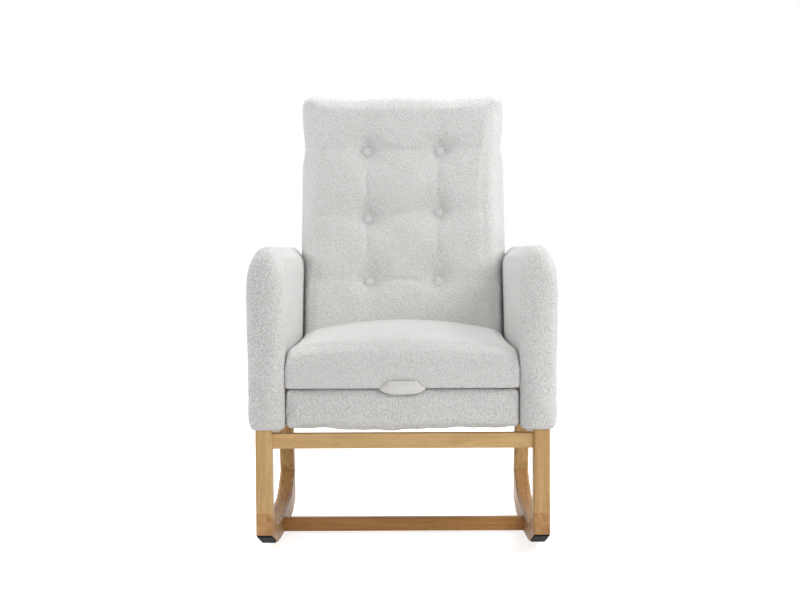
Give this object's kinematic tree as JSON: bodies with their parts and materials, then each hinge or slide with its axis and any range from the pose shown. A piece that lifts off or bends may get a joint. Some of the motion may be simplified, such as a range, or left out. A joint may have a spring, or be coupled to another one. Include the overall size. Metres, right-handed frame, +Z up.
{
  "type": "upholstered rocking chair",
  "caption": "Upholstered rocking armchair with a button-tufted reclined back, padded arms, a wooden rocker base and a padded footrest that slides out from under the seat.",
  "frame": {"origin": "on the floor, under the middle of the chair's outline", "axes": "+Z up, -Y the way the sitter faces, +X to the sitter's left"},
  "size_m": [0.684, 0.8378, 1.0783],
  "materials": {
    "oak": "satin clear coat",
    "frame_wood": "bare plywood",
    "upholstery": "curly teddy cloth",
    "tab_cloth": "woven strap",
    "webbing": "woven",
    "rubber": "matte",
    "zinc_steel": "zinc plated"
  },
  "bodies": {
    "chair": {"arm_bolts": "zinc_steel", "arm_frame_left": "frame_wood", "arm_frame_right": "frame_wood", "arm_pad_left": "upholstery", "arm_pad_right": "upholstery", "back_bottom_rail": "frame_wood", "back_bracket_left": "zinc_steel", "back_bracket_right": "zinc_steel", "back_cushion": "upholstery", "back_post_left": "frame_wood", "back_post_right": "frame_wood", "back_shell": "upholstery", "back_top_rail": "frame_wood", "back_webbing": "webbing", "base_bolts": "zinc_steel", "dust_cover": "webbing", "front_apron": "oak", "front_leg_left": "oak", "front_leg_right": "oak", "lower_stretcher": "oak", "rear_apron": "oak", "rear_leg_left": "oak", "rear_leg_right": "oak", "rocker_left": "oak", "rocker_right": "oak", "seat_back_rail": "frame_wood", "seat_corner_blocks": "frame_wood", "seat_cushion": "upholstery", "seat_front_rail": "frame_wood", "seat_lower_rail": "frame_wood", "seat_side_board_left": "frame_wood", "seat_side_board_right": "frame_wood", "seat_webbing": "webbing", "side_rail_left": "oak", "side_rail_right": "oak", "slide_outer_left": "zinc_steel", "slide_outer_right": "zinc_steel", "stop_pad_left": "rubber", "stop_pad_right": "rubber", "tie_clips": "zinc_steel", "tuft_buttons": "upholstery", "tuft_ties": "webbing"},
    "footrest": {"footrest_deck": "frame_wood", "footrest_front_board": "frame_wood", "footrest_front_pad": "upholstery", "footrest_runner_left": "frame_wood", "footrest_runner_right": "frame_wood", "footrest_top_pad": "upholstery", "pull_tab": "tab_cloth", "slide_inner_left": "zinc_steel", "slide_inner_right": "zinc_steel"},
    "slide_middle_left": {"slide_middle_left": "zinc_steel"},
    "slide_middle_right": {"slide_middle_right": "zinc_steel"}
  },
  "joints": [
    {"name": "footrest_slide", "type": "slide", "parent": "chair", "child": "footrest", "axis": [0, -1, 0], "range_m": [0, 0.3]},
    {"name": "left_slide_extension", "type": "slide", "parent": "chair", "child": "slide_middle_left", "axis": [0, -1, 0], "range_m": [0, 0.15]},
    {"name": "right_slide_extension", "type": "slide", "parent": "chair", "child": "slide_middle_right", "axis": [0, -1, 0], "range_m": [0, 0.15]}
  ],
  "couplings": [
    {"joint": "left_slide_extension", "follows": "footrest_slide", "ratio": 0.5},
    {"joint": "right_slide_extension", "follows": "footrest_slide", "ratio": 0.5}
  ]
}
